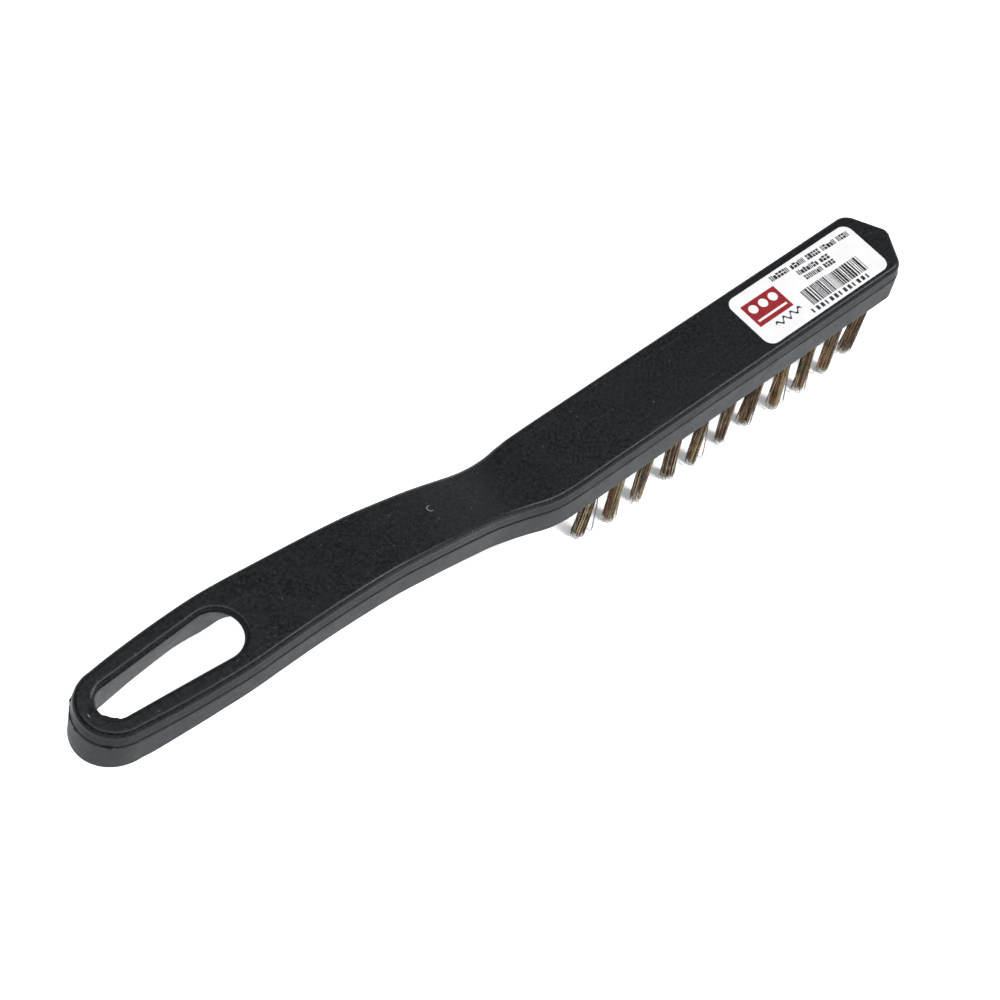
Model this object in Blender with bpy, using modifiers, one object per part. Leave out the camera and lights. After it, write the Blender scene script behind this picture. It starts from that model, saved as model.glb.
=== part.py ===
"""Hand wire brush: one moulded plastic handle and head, a paper label on the
head, and three rows of eleven folded wire tufts, each pinned in its blind hole
by a flat metal anchor.

Frame: +X runs from the hanging end to the nose, +Y to the left of the head,
+Z up. Z = 0 is the plane the wire tips stand on. Lengths below are in mm.
"""

import math

import bmesh
import bpy
from mathutils import Matrix

MM = 0.001

# ---------------------------------------------------------------- dimensions
# Head block
HEAD_TOP = 39.1            # height of the flat top of the head
LAND = 26.1                # height of the flat underside that the wires leave
HEAD_THICK = HEAD_TOP - LAND
HEAD_HALF = 11.65          # half width of the head at its top edge
NOSE_CORNER_X = 133.9      # where the side turns into the slanted nose face
NOSE_TIP_X = 140.29        # where the two slanted nose faces would meet
NOSE_CORNER_R = 5.0
NOSE_TIP_R = 3.0

# Side view of the grip: (x, height of the top face). A straight ramp behind
# the first station, the flat head past the last one.
RAMP = -0.0305             # rise per mm of x
TOP_STATIONS = (
    (-106.0, 63.1), (-92.0, 62.5), (-79.0, 61.4), (-65.0, 59.7), (-52.0, 57.4),
    (-41.0, 54.2), (-32.0, 51.2), (-23.0, 47.7), (-10.0, 42.6), (-3.0, 40.6),
    (3.0, 39.5), (10.0, HEAD_TOP),
)
# Side view: (x, thickness from top face to underside)
THICK_STATIONS = (
    (-141.0, 13.4), (-128.0, 13.2), (-117.0, 12.2), (-106.0, 11.5), (-92.0, 11.2),
    (-41.0, 11.9), (-10.0, 12.4), (10.0, HEAD_THICK),
)
# Plan view: (x, half width at the top edge)
HALF_STATIONS = (
    (-129.0, 9.8), (-126.0, 10.2), (-118.0, 10.95), (-109.0, 11.55), (-98.0, 11.9),
    (-89.0, 11.6), (-79.0, 11.1), (-66.0, 10.6), (-52.0, 10.1), (-41.0, 9.8),
    (-32.0, 9.5), (-23.0, 9.1), (-17.0, 8.85), (-11.0, 9.1), (-5.0, 9.8),
    (1.0, 10.95), (6.0, 11.5), (14.0, HEAD_HALF),
)
CAP_X = HALF_STATIONS[0][0]  # where the elliptical hanging end begins
END_X = -138.6             # hanging end of the grip at its top edge
END_LEAN = 1.25            # how far the end wall leans out at the underside

# Where the sides have points, and from BEND_X on, where the whole slab is cut
# across so that its flat faces can follow the side view
REAR_X = [-122.0, -115.0]
BEND_X = [-106.0, -97.0] + [-90.0 + 5.0 * i for i in range(14)]
BEND_X += [-21.0, -17.0, -13.0, -9.0, -5.0, -1.0, 3.0, 7.0, 11.0, 15.0, 80.0]

# Hanging slot: two arcs joined by straight sides, wider at the underside, with
# its large end raked towards the head
SLOT_SMALL_X, SLOT_SMALL_R = -128.6, 4.75
SLOT_LARGE_X, SLOT_LARGE_R = -100.0, 6.75
SLOT_FLARE = 0.9
SLOT_RAKE = 6.8
SLOT_SIDE_STEPS = 7
# (x, extra half width of the slot at the underside), fullest at its middle
SLOT_BULGE = (
    (-134.0, 0.0), (-129.0, 0.50), (-124.0, 0.82), (-117.0, 1.08),
    (-107.0, 1.16), (-102.0, 0.75), (-97.0, 0.10), (-94.0, 0.0),
)

# Side walls: top rounding, bottom bevel, mould parting line and the step there
TOP_R = 1.4
BEVEL_HEIGHT = 0.5
BEVEL_WIDTH = 0.8 * BEVEL_HEIGHT
PARTING_DEPTH = 4.2
UPPER_DRAFT = 0.30         # how far the wall leans out down to the parting line
PARTING_STEP = 0.15        # how far the wall steps out
STEP_HEIGHT = 0.2          # height over which it does so

# Wire tufts
TUFT_COUNT = 11
TUFT_FIRST_X = 21.1
TUFT_PITCH = 10.67
TUFT_X = [TUFT_FIRST_X + TUFT_PITCH * i for i in range(TUFT_COUNT)]
ROW_PITCH = 8.0
ROWS = (("near", -ROW_PITCH), ("middle", 0.0), ("far", ROW_PITCH))
TUFT_R = 1.95
TIP_R = 2.1
TIP_BEVEL_WIDTH, TIP_BEVEL_HEIGHT = 0.25, 0.7
SEAT_R = 1.9
SEAT_BEVEL = 0.6
TUFT_SEAT = 7.7            # how far a tuft reaches into its hole
WIDEN_FROM, WIDEN_TO = 0.4, -1.0  # from SEAT_R to TUFT_R, heights from the land
TUFT_STEPS = 12

# Tuft holes
HOLE_R = 2.2
HOLE_DEPTH = 8.2
HOLE_OVERCUT = 1.0         # how far the cutter stands out below the land
HOLE_SEGMENTS = 16

# Anchors
ANCHOR_LENGTH, ANCHOR_THICK, ANCHOR_HEIGHT = ANCHOR = (4.1, 0.5, 2.6)
ANCHOR_TOP = 0.9           # wire left above the anchor, where the tuft folds
ANCHOR_Z = TUFT_SEAT - ANCHOR_TOP - ANCHOR_HEIGHT / 2  # centre, above the land
CLEAR = 0.3                # gap around an anchor in a folded tuft

# Label
LABEL_X = (83.0, 131.2)
LABEL_Y = (-9.6, 8.8)
LABEL_T = 0.12
LABEL_R = 3.0
LABEL_GAP = 0.03


# ---------------------------------------------------------------- scene
def new_collection(name):
    collection = bpy.data.collections.new(name)
    bpy.context.scene.collection.children.link(collection)
    return collection


def material(name, colour, roughness, metallic):
    mat = bpy.data.materials.new(name)
    mat.use_nodes = True
    shader = mat.node_tree.nodes["Principled BSDF"]
    shader.inputs["Base Color"].default_value = (*colour, 1.0)
    shader.inputs["Roughness"].default_value = roughness
    shader.inputs["Metallic"].default_value = metallic
    mat.diffuse_color = (*colour, 1.0)
    return mat


for old in list(bpy.data.objects):
    bpy.data.objects.remove(old, do_unlink=True)

PARTS = new_collection("wire_brush")
CUTTERS = new_collection("cutters")
CUTTERS.hide_render = True

PLASTIC = material(
    "black_polypropylene", colour=(0.024, 0.025, 0.030), roughness=0.42, metallic=0.0
)
PAPER = material("white_paper_label", colour=(0.86, 0.86, 0.87), roughness=0.55, metallic=0.0)
WIRE = material("brass_coated_wire", colour=(0.36, 0.25, 0.13), roughness=0.38, metallic=1.0)
STEEL = material("anchor_steel", colour=(0.45, 0.45, 0.46), roughness=0.35, metallic=1.0)


# ---------------------------------------------------------------- helpers
def to_mesh(name, bm, mat=None):
    """Turns a bmesh into a mesh and frees it."""
    mesh = bpy.data.meshes.new(name)
    bm.to_mesh(mesh)
    bm.free()
    if mat:
        mesh.materials.append(mat)
    return mesh


def add_object(name, data, collection=PARTS, where=(0, 0, 0)):
    obj = bpy.data.objects.new(name, data)
    obj.location = tuple(c * MM for c in where)
    collection.objects.link(obj)
    return obj


def box(size, centre_z=0.0):
    """Box bmesh centred on the Z axis."""
    bm = bmesh.new()
    bmesh.ops.create_cube(bm, size=1.0)
    centre = (0, 0, centre_z)
    for v in bm.verts:
        v.co = tuple((v.co[k] * size[k] + centre[k]) * MM for k in range(3))
    return bm


def boolean(obj, cutter, operation):
    mod = obj.modifiers.new("cut", "BOOLEAN")
    mod.object = cutter
    mod.operation = operation
    mod.solver = "EXACT"


def arc(centre_x, centre_y, r, start, end, count):
    """Points and outward normals along an arc, angles in degrees."""
    out = []
    for i in range(count):
        angle = math.radians(start + (end - start) * i / (count - 1))
        nx, ny = math.cos(angle), math.sin(angle)
        out.append((centre_x + r * nx, centre_y + r * ny, nx, ny))
    return out


def curve_through(stations, x):
    """Monotone cubic through the stations, held level beyond both ends and
    running level into the last one."""
    if x <= stations[0][0]:
        return stations[0][1]
    if x >= stations[-1][0]:
        return stations[-1][1]
    pairs = list(zip(stations, stations[1:]))
    step = [after[0] - before[0] for before, after in pairs]
    rise = [(after[1] - before[1]) / h for (before, after), h in zip(pairs, step)]
    slope = [rise[0]]
    for i in range(1, len(step)):
        if rise[i - 1] * rise[i] <= 0:
            slope.append(0.0)
        else:
            # weighted harmonic mean of the two neighbouring rises
            w0, w1 = 2 * step[i] + step[i - 1], step[i] + 2 * step[i - 1]
            slope.append((w0 + w1) / (w0 / rise[i - 1] + w1 / rise[i]))
    slope.append(0.0)
    i = max(k for k in range(len(step)) if stations[k][0] <= x)
    t = (x - stations[i][0]) / step[i]
    return (
        (2 * t**3 - 3 * t**2 + 1) * stations[i][1]
        + (t**3 - 2 * t**2 + t) * step[i] * slope[i]
        + (3 * t**2 - 2 * t**3) * stations[i + 1][1]
        + (t**3 - t**2) * step[i] * slope[i + 1]
    )


# ---------------------------------------------------------------- handle
# The handle is built as a flat slab with its top at z = 0, then bent to the
# side view. Outline points are (x, y, normal x, normal y).
def top_height(x):
    first_x, first_height = TOP_STATIONS[0]
    if x < first_x:
        return first_height + RAMP * (x - first_x)
    return curve_through(TOP_STATIONS, x)


def mirrored_loop(half):
    """Closes a left half outline with its mirror image."""
    return half + [(x, -y, nx, -ny) for x, y, nx, ny in reversed(half) if y > 1e-6]


def body_loop():
    """Plan outline at the top edge, its left half from hanging end to nose."""
    cap_length, cap_half = CAP_X - END_X, curve_through(HALF_STATIONS, CAP_X)
    half = []
    for i in range(11):
        angle = math.radians(9.0 * i)
        nx, ny = -math.cos(angle) / cap_length, math.sin(angle) / cap_half
        n = math.hypot(nx, ny)
        x, y = CAP_X - cap_length * math.cos(angle), cap_half * math.sin(angle)
        half.append((x, y, nx / n, ny / n))
    half += [(x, curve_through(HALF_STATIONS, x), 0.0, 1.0) for x in REAR_X + BEND_X]
    # direction of the slanted nose face's normal, in degrees
    facet = math.degrees(math.atan2(NOSE_TIP_X - NOSE_CORNER_X, HEAD_HALF))
    corner_x = NOSE_CORNER_X - NOSE_CORNER_R * math.tan(math.radians((90.0 - facet) / 2))
    half += arc(corner_x, HEAD_HALF - NOSE_CORNER_R, NOSE_CORNER_R, 90.0, facet, 6)
    tip_x = NOSE_TIP_X - NOSE_TIP_R / math.cos(math.radians(facet))
    half += arc(tip_x, 0.0, NOSE_TIP_R, facet, 0.0, 4)
    return mirrored_loop(half)


def slot_loop(share):
    """Slot outline, with normals pointing into the plastic. share runs from 0
    at the top edge to 1 at the underside."""
    large_x = SLOT_LARGE_X + SLOT_RAKE * share
    lean = math.degrees(math.asin((SLOT_LARGE_R - SLOT_SMALL_R) / (large_x - SLOT_SMALL_X)))
    large = arc(large_x, 0.0, SLOT_LARGE_R, 0.0, 90.0 + lean, 10)
    small = arc(SLOT_SMALL_X, 0.0, SLOT_SMALL_R, 90.0 + lean, 180.0, 8)
    x0, y0, side_nx, side_ny = large[-1]
    x1, y1 = small[0][:2]
    side = [
        (x0 + (x1 - x0) * k / SLOT_SIDE_STEPS, y0 + (y1 - y0) * k / SLOT_SIDE_STEPS,
         side_nx, side_ny)
        for k in range(1, SLOT_SIDE_STEPS)
    ]
    return mirrored_loop([
        (x, y + curve_through(SLOT_BULGE, x) * share * ny, nx, ny)
        for x, y, nx, ny in large + side + small
    ])


def wall_levels():
    """Levels of the outer wall and of the slot wall, from top to underside:
    (depth below the top face, offset along the outline normals). The depth is
    for the head's full thickness."""
    rounding = []
    for degrees in (0.0, 30.0, 60.0, 90.0):
        angle = math.radians(degrees)
        rounding.append((TOP_R * (1 - math.cos(angle)), TOP_R * (1 - math.sin(angle))))
    lower = UPPER_DRAFT + PARTING_STEP
    outer = [(depth, -offset) for depth, offset in rounding] + [
        (PARTING_DEPTH, UPPER_DRAFT),
        (PARTING_DEPTH + STEP_HEIGHT, lower),
        (HEAD_THICK - BEVEL_HEIGHT, lower),
        (HEAD_THICK, lower - BEVEL_WIDTH),
    ]
    slot = rounding + [
        (HEAD_THICK - BEVEL_HEIGHT, SLOT_FLARE),
        (HEAD_THICK, SLOT_FLARE + BEVEL_WIDTH),
    ]
    return outer, slot


def share_below_rounding(depth):
    """0 down to the foot of the top rounding, 1 at the underside."""
    return max(0.0, depth - TOP_R) / (HEAD_THICK - TOP_R)


def bent(x, y, depth):
    """Bends the flat slab to the side view, and leans the end wall out."""
    local = depth
    if depth > PARTING_DEPTH:
        below = curve_through(THICK_STATIONS, x) - PARTING_DEPTH
        local = PARTING_DEPTH + (depth - PARTING_DEPTH) * below / (HEAD_THICK - PARTING_DEPTH)
    if x < CAP_X:
        stretch = share_below_rounding(depth) * END_LEAN / (CAP_X - END_X)
        x = CAP_X + (x - CAP_X) * (1 + stretch)
    return x * MM, y * MM, (top_height(x) - local) * MM


def add_wall(bm, outline, levels, inside):
    """Skins rings of the outline at each level; returns the end rings."""
    rings = []
    for depth, offset in levels:
        loop = outline(share_below_rounding(depth))
        rings.append([
            bm.verts.new((x + offset * nx, y + offset * ny, -depth)) for x, y, nx, ny in loop
        ])
    count = len(rings[0])
    for upper, lower in zip(rings, rings[1:]):
        for i in range(count):
            j = (i + 1) % count
            quad = (upper[i], upper[j], lower[j], lower[i])
            bm.faces.new(quad if inside else quad[::-1])
    return rings[0], rings[-1]


def build_slab():
    bm = bmesh.new()
    outer_levels, slot_levels = wall_levels()
    outline = body_loop()
    outer_ends = add_wall(bm, lambda share: outline, outer_levels, inside=False)
    slot_ends = add_wall(bm, slot_loop, slot_levels, inside=True)
    # top face and underside, each filled between the outline and the slot
    for loops in zip(outer_ends, slot_ends):
        edges = []
        for loop in loops:
            for i, v in enumerate(loop):
                edges.append(bm.edges.get((v, loop[(i + 1) % len(loop)])))
        bmesh.ops.triangle_fill(bm, use_beauty=True, use_dissolve=True, edges=edges)
    for x in BEND_X:
        geom = bm.verts[:] + bm.edges[:] + bm.faces[:]
        bmesh.ops.bisect_plane(
            bm, geom=geom, dist=1e-4, plane_co=(x, 0, 0), plane_no=(1, 0, 0)
        )
    bmesh.ops.triangulate(bm, faces=[f for f in bm.faces if len(f.verts) > 4])
    for v in bm.verts:
        v.co = bent(v.co.x, v.co.y, -v.co.z)
    bmesh.ops.recalc_face_normals(bm, faces=bm.faces[:])
    return bm


def build_hole_cutter():
    bm = bmesh.new()
    mouth, floor = LAND - HOLE_OVERCUT, LAND + HOLE_DEPTH
    for _, row_y in ROWS:
        for hole_x in TUFT_X:
            centre = (hole_x * MM, row_y * MM, (mouth + floor) / 2 * MM)
            bmesh.ops.create_cone(
                bm, cap_ends=True, segments=HOLE_SEGMENTS, radius1=HOLE_R * MM,
                radius2=HOLE_R * MM, depth=(floor - mouth) * MM,
                matrix=Matrix.Translation(centre),
            )
    cutter = add_object("hole_cutter", to_mesh("hole_cutter", bm), CUTTERS)
    cutter.display_type = "WIRE"
    cutter.hide_render = True
    return cutter


def build_handle():
    mesh = to_mesh("handle", build_slab(), PLASTIC)
    mesh.shade_smooth()
    mesh.set_sharp_from_angle(angle=math.radians(28))
    handle = add_object("handle", mesh)
    boolean(handle, build_hole_cutter(), "DIFFERENCE")


# ---------------------------------------------------------------- label
def build_label():
    """Rounded rectangle of paper, just clear of the top of the head."""
    corner_x = (LABEL_X[1] - LABEL_X[0]) / 2 - LABEL_R
    corner_y = (LABEL_Y[1] - LABEL_Y[0]) / 2 - LABEL_R
    edge = []
    for sx, sy, start in ((1, 1, 0), (-1, 1, 90), (-1, -1, 180), (1, -1, 270)):
        edge += arc(sx * corner_x, sy * corner_y, LABEL_R, start, start + 90, 6)
    sheet = bpy.data.curves.new("label", "CURVE")
    sheet.dimensions = "2D"
    sheet.fill_mode = "BOTH"
    sheet.extrude = LABEL_T / 2 * MM
    border = sheet.splines.new("POLY")
    border.points.add(len(edge) - 1)
    for point, (x, y, _, _) in zip(border.points, edge):
        point.co = (x * MM, y * MM, 0.0, 1.0)
    border.use_cyclic_u = True
    sheet.materials.append(PAPER)
    centre = (sum(LABEL_X) / 2, sum(LABEL_Y) / 2, HEAD_TOP + LABEL_GAP + LABEL_T / 2)
    add_object("label", sheet, where=centre)


# ---------------------------------------------------------------- tufts
# A tuft's origin is on its axis where it leaves the head. The profile is
# (radius, z), from the axis down the outer side and back to the axis.
TUFT_PROFILE = (
    (0.0, TUFT_SEAT),
    (SEAT_R - SEAT_BEVEL, TUFT_SEAT),
    (SEAT_R, TUFT_SEAT - SEAT_BEVEL),
    (SEAT_R, WIDEN_FROM),
    (TUFT_R, WIDEN_TO),
    (TIP_R, -LAND + TIP_BEVEL_HEIGHT),
    (TIP_R - TIP_BEVEL_WIDTH, -LAND),
    (0.0, -LAND),
)


def turned_tuft(name):
    """The tuft profile swept about Z by a Screw."""
    mesh = bpy.data.meshes.new(name)
    points = [(r * MM, 0.0, z * MM) for r, z in TUFT_PROFILE]
    mesh.from_pydata(points, [(i, i + 1) for i in range(len(points) - 1)], [])
    mesh.materials.append(WIRE)
    body = add_object(name, mesh, CUTTERS)
    mod = body.modifiers.new("turn", "SCREW")
    mod.axis = "Z"
    mod.steps = mod.render_steps = TUFT_STEPS
    mod.use_merge_vertices = True
    mod.merge_threshold = 0.05 * MM
    mod.use_smooth_shade = True
    return body


def tuft_mesh(name, size, operation):
    """Mesh of a tuft with a box of this size cut from it or joined to it at
    the anchor's place."""
    body = turned_tuft(name)
    tool_name = name + "_tool"
    tool = add_object(tool_name, to_mesh(tool_name, box(size, ANCHOR_Z)), CUTTERS)
    boolean(body, tool, operation)
    bpy.context.view_layer.update()
    graph = bpy.context.evaluated_depsgraph_get()
    mesh = bpy.data.meshes.new_from_object(body.evaluated_get(graph))
    mesh.name = name
    for obj in (body, tool):
        bpy.data.objects.remove(obj, do_unlink=True)
    return mesh


def build_tufts():
    """Middle row tufts are one piece with their anchors; in the other rows
    the anchor is a separate piece in an opening right through the tuft."""
    opening = (3 * SEAT_R, ANCHOR_THICK + 2 * CLEAR, ANCHOR_HEIGHT + 2 * CLEAR)
    folded = tuft_mesh("tuft_folded", opening, "DIFFERENCE")
    pinned = tuft_mesh("tuft_with_anchor", ANCHOR, "UNION")
    anchor = to_mesh("anchor", box(ANCHOR), STEEL)
    for row, y in ROWS:
        joined = row == "middle"
        for i, x in enumerate(TUFT_X, 1):
            add_object(f"tuft_{row}_{i:02d}", pinned if joined else folded, where=(x, y, LAND))
            if not joined:
                add_object(f"anchor_{row}_{i:02d}", anchor, where=(x, y, LAND + ANCHOR_Z))


build_handle()
build_label()
build_tufts()
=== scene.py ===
"""Hand wire brush: a moulded handle with a hanging slot and a printed label,
and thirty-three tufts of folded wires, each held by a flat anchor.

Frame: +X from the hanging end to the nose, +Y to the left of the head, +Z up,
Z = 0 on the plane the wire tips stand on. Lengths are in mm until MM is applied;
lights, camera and shader scales are in metres.
"""

import random
from math import asin, atan2, cos, degrees, hypot, pi, radians, sin, sqrt, tan

import bmesh
import bpy
from mathutils import Matrix, Vector, noise


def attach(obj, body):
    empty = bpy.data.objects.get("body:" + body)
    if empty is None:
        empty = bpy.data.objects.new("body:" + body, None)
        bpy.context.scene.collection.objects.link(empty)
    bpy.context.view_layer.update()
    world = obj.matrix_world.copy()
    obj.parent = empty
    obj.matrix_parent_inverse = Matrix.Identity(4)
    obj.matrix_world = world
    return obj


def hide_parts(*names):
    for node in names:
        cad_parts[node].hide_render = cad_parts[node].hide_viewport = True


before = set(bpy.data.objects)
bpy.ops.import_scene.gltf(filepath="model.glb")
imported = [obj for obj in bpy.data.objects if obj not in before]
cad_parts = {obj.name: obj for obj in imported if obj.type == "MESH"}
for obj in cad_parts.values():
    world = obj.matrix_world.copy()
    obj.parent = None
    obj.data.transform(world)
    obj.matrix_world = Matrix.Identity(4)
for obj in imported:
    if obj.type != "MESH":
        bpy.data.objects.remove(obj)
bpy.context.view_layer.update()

MM = 0.001

# ---------------------------------------------------------------- dimensions
HEAD_TOP = 39.1
LAND = 26.1  # underside of the head, where the tufts come out
SLAB = HEAD_TOP - LAND  # the handle is built as a flat slab this thick, then bent
HEAD_HALF = 11.65
NOSE_CORNER_X = 133.9
NOSE_TIP_X = 140.29
NOSE_CORNER_R = 5.0
NOSE_TIP_R = 3.0

# (x, height of the top face)
TOP_STATIONS = (
    (-106.0, 63.1), (-92.0, 62.5), (-79.0, 61.4), (-65.0, 59.7), (-52.0, 57.4),
    (-41.0, 54.2), (-32.0, 51.2), (-23.0, 47.7), (-10.0, 42.6), (-3.0, 40.6),
    (3.0, 39.5), (10.0, HEAD_TOP),
)
GRIP_SLOPE = -0.0305  # of the straight top face behind the first station
# (x, thickness)
THICK_STATIONS = (
    (-141.0, 13.4), (-128.0, 13.2), (-117.0, 12.2), (-106.0, 11.5), (-92.0, 11.2),
    (-41.0, 11.9), (-10.0, 12.4), (10.0, SLAB),
)
# (x, half width)
HALF_STATIONS = (
    (-129.0, 9.8), (-126.0, 10.2), (-118.0, 10.95), (-109.0, 11.55), (-98.0, 11.9),
    (-89.0, 11.6), (-79.0, 11.1), (-66.0, 10.6), (-52.0, 10.1), (-41.0, 9.8),
    (-32.0, 9.5), (-23.0, 9.1), (-17.0, 8.85), (-11.0, 9.1), (-5.0, 9.8),
    (1.0, 10.95), (6.0, 11.5), (14.0, HEAD_HALF),
)
CAP_X = HALF_STATIONS[0][0]  # the half-ellipse of the hanging end starts here
END_X = -138.6
END_LEAN = 1.25  # how much further out the end reaches at the underside

SLOT_SMALL_X, SLOT_SMALL_R = -128.6, 4.75
SLOT_LARGE_X, SLOT_LARGE_R = -100.0, 6.75
SLOT_FLARE = 0.9
SLOT_RAKE = 6.8  # shift of the large end toward +X at the underside
# (x, extra half width of the slot at the underside)
SLOT_BULGE = (
    (-134.0, 0.0), (-129.0, 0.50), (-124.0, 0.82), (-117.0, 1.08),
    (-107.0, 1.16), (-102.0, 0.75), (-97.0, 0.10), (-94.0, 0.0),
)

TOP_R = 1.4
BOTTOM_R = 0.5
BOTTOM_REACH = BOTTOM_R * 0.8  # sideways size of the bottom rounding
PARTING_DEPTH = 4.2
UPPER_DRAFT = 0.30
LOWER_OUT = UPPER_DRAFT + 0.15  # the wall steps out below the parting line
FLASH_LEVELS = (PARTING_DEPTH + 0.10, PARTING_DEPTH + 0.22)

TUFT_COUNT = 11
TUFT_FIRST_X = 21.1
TUFT_PITCH = 10.67
TUFT_X = [TUFT_FIRST_X + TUFT_PITCH * i for i in range(TUFT_COUNT)]
ROWS = (("near", -8.0), ("middle", 0.0), ("far", 8.0))  # name, y
HOLE_R = 2.2
HOLE_DEPTH = 8.2
TUFT_SEAT = 7.7
ANCHOR = (4.1, 0.5, 2.6)
FOLD_Z = LAND + TUFT_SEAT - 0.9  # top of the anchors, which the wires fold over
ANCHOR_Z = FOLD_Z - ANCHOR[2] / 2
WIRE_R = 0.19
WIRE_PITCH = 0.545
WIRE_SIDES = 6

LABEL_X = (83.0, 131.2)
LABEL_Y = (-9.6, 8.8)
LABEL_T = 0.12
LABEL_R = 3.0
LABEL_BASE = HEAD_TOP + 0.03
LABEL_TOP = LABEL_BASE + LABEL_T

collection = bpy.data.collections.new("wire_brush_looks")
bpy.context.scene.collection.children.link(collection)


# ---------------------------------------------------------------- node helpers
class Nodes:
    """Shorthand for building the node tree of a material or world."""

    def __init__(self, owner, shader="Principled BSDF"):
        self.owner = owner
        owner.use_nodes = True
        self.tree = owner.node_tree
        self.shader = self.tree.nodes[shader]
        self.coord = self.add("ShaderNodeTexCoord")

    def add(self, kind, **settings):
        node = self.tree.nodes.new(kind)
        for key, value in settings.items():
            setattr(node, key, value)
        return node

    def link(self, source, target):
        """Links a socket, or sets a plain value; colours get an alpha of 1."""
        if isinstance(source, tuple):
            target.default_value = (*source, 1.0)
        elif isinstance(source, (int, float)):
            target.default_value = source
        else:
            self.tree.links.new(source, target)

    def noise(self, scale, detail=3.0, rough=0.5, stretch=None, distortion=0.0):
        coord = self.coord.outputs["Object"]
        if stretch:
            mapping = self.add("ShaderNodeMapping")
            mapping.inputs["Scale"].default_value = stretch
            self.link(coord, mapping.inputs["Vector"])
            coord = mapping.outputs["Vector"]
        node = self.add("ShaderNodeTexNoise")
        node.inputs["Scale"].default_value = scale
        node.inputs["Detail"].default_value = detail
        node.inputs["Roughness"].default_value = rough
        node.inputs["Distortion"].default_value = distortion
        self.link(coord, node.inputs["Vector"])
        return node.outputs["Fac"]

    def ramp(self, source, over, to=(0.0, 1.0)):
        """Smooth step across the range `over`, giving values in the range `to`."""
        node = self.add("ShaderNodeMapRange", interpolation_type="SMOOTHSTEP")
        names = ("From Min", "From Max", "To Min", "To Max")
        for name, value in zip(names, (*over, *to)):
            node.inputs[name].default_value = value
        self.link(source, node.inputs["Value"])
        return node.outputs["Result"]

    def math(self, operation, first, second=0.0):
        node = self.add("ShaderNodeMath", operation=operation)
        self.link(first, node.inputs[0])
        self.link(second, node.inputs[1])
        return node.outputs[0]

    def times(self, first, second):
        return self.math("MULTIPLY", first, second)

    def mix(self, amount, base, to):
        node = self.add("ShaderNodeMix", data_type="RGBA")
        self.link(amount, node.inputs["Factor"])
        self.link(base, node.inputs[6])
        self.link(to, node.inputs[7])
        return node.outputs[2]

    def xyz(self, vector):
        node = self.add("ShaderNodeSeparateXYZ")
        self.link(vector, node.inputs[0])
        return node.outputs

    def attribute(self, name):
        return self.add("ShaderNodeAttribute", attribute_name=name).outputs["Fac"]

    def bump(self, height, strength, distance, normal=None):
        node = self.add("ShaderNodeBump")
        node.inputs["Strength"].default_value = strength
        node.inputs["Distance"].default_value = distance
        self.link(height, node.inputs["Height"])
        if normal is not None:
            self.link(normal, node.inputs["Normal"])
        return node.outputs["Normal"]

    def set(self, **values):
        for key, value in values.items():
            self.link(value, self.shader.inputs[key.replace("_", " ")])
        return self.owner


def new_material(name):
    return Nodes(bpy.data.materials.new(name))


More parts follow.
